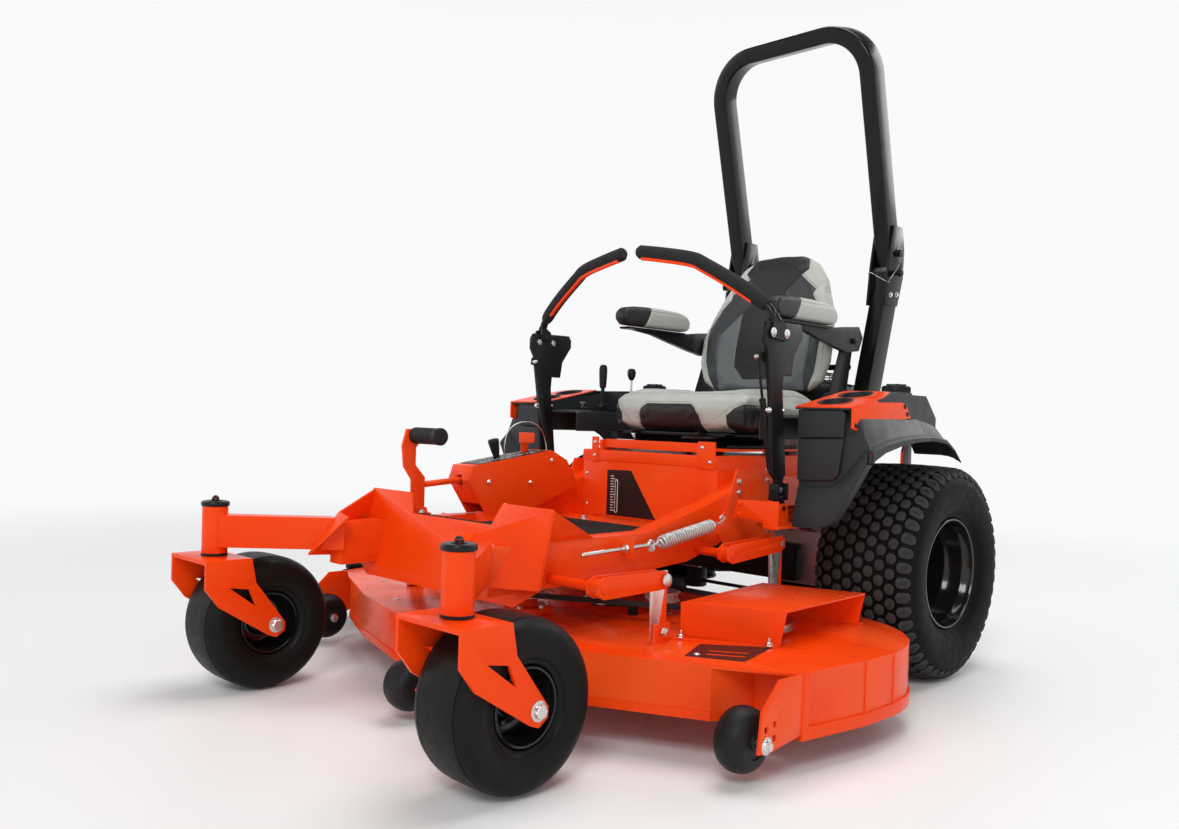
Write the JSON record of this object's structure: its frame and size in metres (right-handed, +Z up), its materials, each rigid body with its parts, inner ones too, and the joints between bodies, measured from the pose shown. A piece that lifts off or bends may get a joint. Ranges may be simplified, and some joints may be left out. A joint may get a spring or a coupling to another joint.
{
  "type": "zero-turn riding lawn mower",
  "caption": "Zero-turn riding mower: orange frame, wide belt-driven deck, two drive wheels, swivel casters, steering levers, padded seat and folding roll bar.",
  "frame": {"origin": "middle of the bounding box, on the ground", "axes": "+Z up, -Y the driving direction, +X the operator's left"},
  "size_m": [1.834, 2.135, 1.9278],
  "materials": {
    "orange_paint": "saturated orange powder coat, satin gloss",
    "black_paint": "gloss black powder coat",
    "rim_paint": "gloss black wheel enamel",
    "tyre_rubber": "matt black tyre rubber",
    "grey_plastic": "dark grey moulded plastic, fine grain",
    "black_plastic": "black moulded plastic",
    "vinyl": "light warm grey seat vinyl",
    "zinc": "bright zinc plated steel",
    "blade_steel": "ground spring steel",
    "casting": "cast aluminium"
  },
  "bodies": {
    "root": {"frame_rail_left": "orange_paint", "frame_rail_right": "orange_paint", "caster_arm_left": "orange_paint", "caster_arm_right": "orange_paint", "foot_platform": "orange_paint", "seat_base": "orange_paint", "engine_deck": "orange_paint", "engine_block": "casting", "engine_shroud": "black_plastic", "hydro_left": "casting", "hydro_right": "casting", "rops_post_left": "black_paint", "rops_post_right": "black_paint", "fender_left": "grey_plastic", "fender_right": "grey_plastic", "console_left": "grey_plastic", "console_right": "grey_plastic", "lift_spring": "zinc"},
    "roll_hoop": {"rops_hoop": "black_paint"},
    "seat": {"seat_pan": "orange_paint", "seat_suspension": "black_paint", "seat_cushion": "vinyl", "seat_back": "vinyl"},
    "deck": {"deck_shell": "orange_paint", "belt_cover_left": "orange_paint", "belt_cover_right": "orange_paint"},
    "chute": {"discharge_chute": "black_plastic"},
    "scalp_wheel_centre": {"antiscalp_centre": "black_plastic"},
    "lift_front": {"lift_shaft_front": "orange_paint"},
    "lift_rear": {"lift_shaft_rear": "orange_paint"},
    "pedal": {"pedal_lever": "orange_paint"},
    "pedal_rod": {"push_rod": "orange_paint"},
    "throttle": {"throttle_lever": "black_plastic"},
    "brake": {"parking_brake": "black_plastic"},
    "cutter_centre": {"spindle_centre": "zinc", "blade_centre": "blade_steel"},
    "drive_wheel_left": {"drive_tyre_left": "tyre_rubber", "drive_rim_left": "rim_paint"},
    "caster_yoke_left": {"caster_fork_left": "orange_paint"},
    "caster_wheel_left": {"caster_tyre_left": "tyre_rubber", "caster_rim_left": "rim_paint"},
    "arm_left": {"armrest_left": "vinyl"},
    "rocker_left": {"lever_foot_left": "black_paint"},
    "lever_left": {"lever_post_left": "black_paint", "lever_handle_left": "black_paint"},
    "scalp_wheel_left": {"antiscalp_left": "black_plastic"},
    "cutter_left": {"spindle_left": "zinc", "blade_left": "blade_steel"},
    "drive_wheel_right": {"drive_tyre_right": "tyre_rubber", "drive_rim_right": "rim_paint"},
    "caster_yoke_right": {"caster_fork_right": "orange_paint"},
    "caster_wheel_right": {"caster_tyre_right": "tyre_rubber", "caster_rim_right": "rim_paint"},
    "arm_right": {"armrest_right": "vinyl"},
    "rocker_right": {"lever_foot_right": "black_paint"},
    "lever_right": {"lever_post_right": "black_paint", "lever_handle_right": "black_paint"},
    "scalp_wheel_right": {"antiscalp_right": "black_plastic"},
    "cutter_right": {"spindle_right": "zinc", "blade_right": "blade_steel"}
  },
  "joints": [
    {"name": "rops_fold", "type": "hinge", "parent": "root", "child": "roll_hoop", "pos_m": [0.099, 0.8545, 1.225], "axis": [-1, 0, 0], "range_deg": [0, 110]},
    {"name": "seat_tilt", "type": "hinge", "parent": "root", "child": "seat", "pos_m": [0.099, 0.0575, 0.606], "axis": [1, 0, 0], "range_deg": [0, 20]},
    {"name": "drive_spin_left", "type": "hinge", "parent": "root", "child": "drive_wheel_left", "pos_m": [0.625, 0.5555, 0.29], "axis": [1, 0, 0], "continuous": true},
    {"name": "caster_swivel_left", "type": "hinge", "parent": "root", "child": "caster_yoke_left", "pos_m": [0.559, -1.0035, 0.39], "axis": [0, 0, 1], "continuous": true},
    {"name": "caster_spin_left", "type": "hinge", "parent": "caster_yoke_left", "child": "caster_wheel_left", "pos_m": [0.559, -0.8875, 0.162], "axis": [1, 0, 0], "continuous": true},
    {"name": "armrest_fold_left", "type": "hinge", "parent": "seat", "child": "arm_left", "pos_m": [0.369, 0.6515, 0.936], "axis": [-1, 0, 0], "range_deg": [0, 85]},
    {"name": "lever_rock_left", "type": "hinge", "parent": "root", "child": "rocker_left", "pos_m": [0.519, 0.0555, 0.47], "axis": [1, 0, 0], "range_deg": [-7, 14]},
    {"name": "lever_swing_left", "type": "hinge", "parent": "rocker_left", "child": "lever_left", "pos_m": [0.519, 0.0555, 0.516], "axis": [0, 1, 0], "range_deg": [0, 25]},
    {"name": "scalp_spin_left", "type": "hinge", "parent": "deck", "child": "scalp_wheel_left", "pos_m": [0.832, -0.5225, 0.082], "axis": [1, 0, 0], "continuous": true},
    {"name": "drive_spin_right", "type": "hinge", "parent": "root", "child": "drive_wheel_right", "pos_m": [-0.427, 0.5555, 0.29], "axis": [1, 0, 0], "continuous": true},
    {"name": "caster_swivel_right", "type": "hinge", "parent": "root", "child": "caster_yoke_right", "pos_m": [-0.361, -1.0035, 0.39], "axis": [0, 0, 1], "continuous": true},
    {"name": "caster_spin_right", "type": "hinge", "parent": "caster_yoke_right", "child": "caster_wheel_right", "pos_m": [-0.361, -0.8875, 0.162], "axis": [1, 0, 0], "continuous": true},
    {"name": "armrest_fold_right", "type": "hinge", "parent": "seat", "child": "arm_right", "pos_m": [-0.171, 0.6515, 0.936], "axis": [-1, 0, 0], "range_deg": [0, 85]},
    {"name": "lever_rock_right", "type": "hinge", "parent": "root", "child": "rocker_right", "pos_m": [-0.321, 0.0555, 0.47], "axis": [1, 0, 0], "range_deg": [-7, 14]},
    {"name": "lever_swing_right", "type": "hinge", "parent": "rocker_right", "child": "lever_right", "pos_m": [-0.321, 0.0555, 0.516], "axis": [0, -1, 0], "range_deg": [0, 25]},
    {"name": "scalp_spin_right", "type": "hinge", "parent": "deck", "child": "scalp_wheel_right", "pos_m": [-0.634, -0.5225, 0.082], "axis": [1, 0, 0], "continuous": true},
    {"name": "deck_lift", "type": "slide", "parent": "root", "child": "deck", "axis": [0, 0, 1], "range_m": [0, 0.06]},
    {"name": "blade_spin_centre", "type": "hinge", "parent": "deck", "child": "cutter_centre", "pos_m": [0.099, -0.4095, 0.2], "axis": [0, 0, 1], "continuous": true},
    {"name": "blade_spin_left", "type": "hinge", "parent": "deck", "child": "cutter_left", "pos_m": [0.599, -0.1345, 0.2], "axis": [0, 0, 1], "continuous": true},
    {"name": "blade_spin_right", "type": "hinge", "parent": "deck", "child": "cutter_right", "pos_m": [-0.401, -0.1345, 0.2], "axis": [0, 0, 1], "continuous": true},
    {"name": "chute_fold", "type": "hinge", "parent": "deck", "child": "chute", "pos_m": [-0.727, -0.2045, 0.204], "axis": [0, 1, 0], "range_deg": [0, 95]},
    {"name": "scalp_spin_centre", "type": "hinge", "parent": "deck", "child": "scalp_wheel_centre", "pos_m": [0.116, -0.7725, 0.078], "axis": [1, 0, 0], "continuous": true},
    {"name": "lift_turn_front", "type": "hinge", "parent": "root", "child": "lift_front", "pos_m": [0.099, -0.6145, 0.337], "axis": [1, 0, 0], "range_deg": [0, 18]},
    {"name": "lift_turn_rear", "type": "hinge", "parent": "root", "child": "lift_rear", "pos_m": [0.099, -0.1025, 0.362], "axis": [1, 0, 0], "range_deg": [0, 16.5]},
    {"name": "pedal_push", "type": "hinge", "parent": "root", "child": "pedal", "pos_m": [-0.123, -0.5845, 0.43], "axis": [1, 0, 0], "range_deg": [0, 20.2]},
    {"name": "rod_slide", "type": "slide", "parent": "root", "child": "pedal_rod", "axis": [0, -1, 0], "range_m": [0, 0.0255]},
    {"name": "throttle_move", "type": "hinge", "parent": "root", "child": "throttle", "pos_m": [-0.242, 0.3485, 0.718], "axis": [-1, 0, 0], "range_deg": [-30, 30]},
    {"name": "brake_pull", "type": "hinge", "parent": "root", "child": "brake", "pos_m": [-0.253, 0.2255, 0.718], "axis": [-1, 0, 0], "range_deg": [0, 45]}
  ],
  "couplings": [
    {"joint": "blade_spin_left", "follows": "blade_spin_centre", "ratio": 1},
    {"joint": "blade_spin_right", "follows": "blade_spin_centre", "ratio": 1},
    {"joint": "lift_turn_front", "follows": "deck_lift", "rad_per_m": 5.2},
    {"joint": "lift_turn_rear", "follows": "deck_lift", "rad_per_m": 4.77},
    {"joint": "pedal_push", "follows": "deck_lift", "rad_per_m": 5.81},
    {"joint": "rod_slide", "follows": "deck_lift", "ratio": 0.407}
  ]
}
